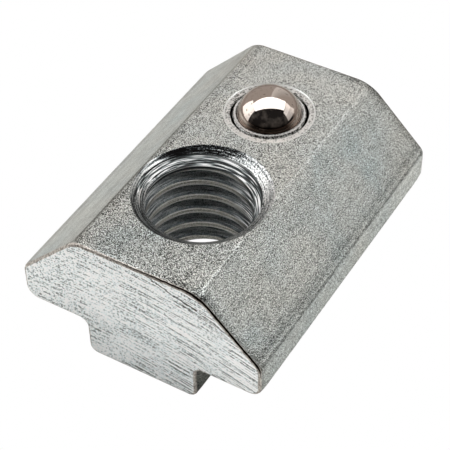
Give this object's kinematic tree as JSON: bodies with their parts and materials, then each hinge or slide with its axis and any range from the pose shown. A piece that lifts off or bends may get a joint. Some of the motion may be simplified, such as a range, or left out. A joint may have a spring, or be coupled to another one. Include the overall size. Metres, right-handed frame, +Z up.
{
  "type": "t slot nut",
  "caption": "T slot nut: a bevelled steel block with a guide neck, a threaded through hole and a sprung ball that holds it in the slot.",
  "frame": {"origin": "middle of the footprint, on the plane of the neck's bottom face that the nut rests on", "axes": "+Y along the nut's length (the slot's direction), from the threaded hole's end to the ball's end; +X across the nut; +Z up, out of the face with the ball, shortest extent"},
  "size_m": [0.017, 0.022, 0.0113],
  "materials": {
    "zinc_plated_steel": "blue-passivated zinc plate on drawn and cropped steel",
    "polished_ball_steel": "polished bearing steel",
    "spring_wire": "drawn spring wire"
  },
  "bodies": {
    "nut": {"nut_body": "zinc_plated_steel", "spring": "spring_wire"},
    "ball": {"ball": "polished_ball_steel"}
  },
  "joints": [
    {"name": "ball_press", "type": "slide", "parent": "nut", "child": "ball", "axis": [0, 0, 1], "range_m": [-0.0017, 0], "stiffness_N_per_m": 2000, "springref_m": 0.0015, "deforming": ["spring"]}
  ]
}
